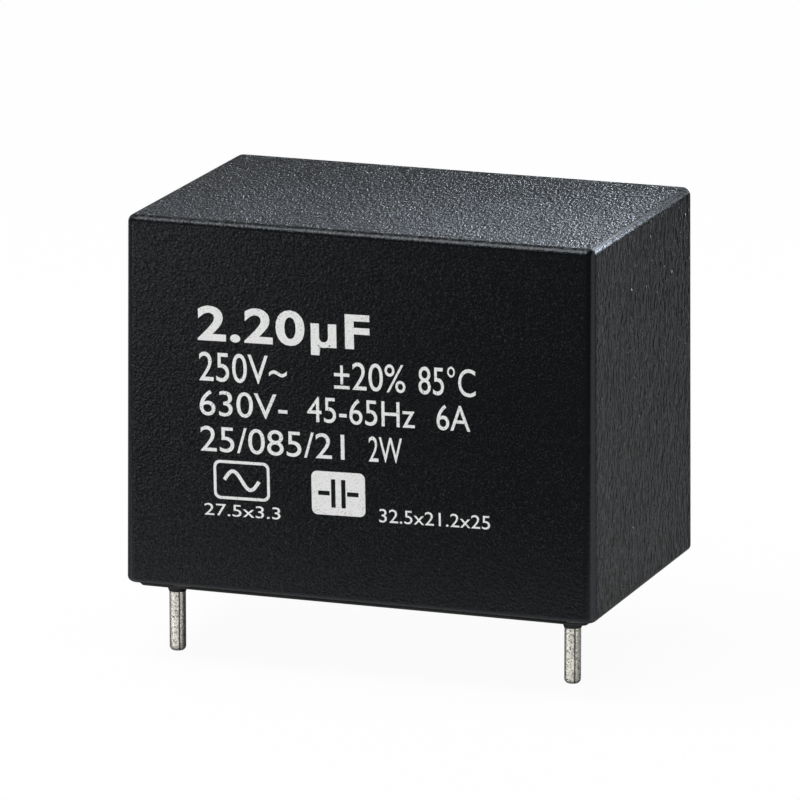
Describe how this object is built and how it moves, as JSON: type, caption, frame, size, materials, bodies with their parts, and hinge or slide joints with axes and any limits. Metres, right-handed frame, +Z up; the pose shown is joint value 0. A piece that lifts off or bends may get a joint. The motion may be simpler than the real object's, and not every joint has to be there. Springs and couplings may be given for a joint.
{
  "type": "film capacitor",
  "caption": "Box film capacitor: drafted black moulded case, cast resin base with a collar round each of the straight tinned wire leads near its front edge; wound film roll sealed inside.",
  "frame": {"origin": "middle of the moulded box, on the plane that it seats on: the flat underside of the cast resin", "axes": "+Z up to the closed top, -Y the printed front beside which the leads stand, +X along the width to the right as seen from the front"},
  "size_m": [0.0324, 0.0212, 0.0299],
  "materials": {
    "case": "fine matte moulded texture, black, with white printed marks",
    "resin": "cast epoxy, black, satin",
    "film": "metallised plastic film, wound, silvery",
    "spray": "sprayed metal, dull grey, rough",
    "lead": "tinned wire, soft sheen",
    "solder": "tin solder, satin"
  },
  "bodies": {
    "root": {"case": "case", "potting_resin": "resin", "film_winding": "film", "end_spray_left": "spray", "end_spray_right": "spray", "solder_joint_left": "solder", "solder_joint_right": "solder", "lead_left": "lead", "lead_right": "lead"}
  },
  "joints": []
}
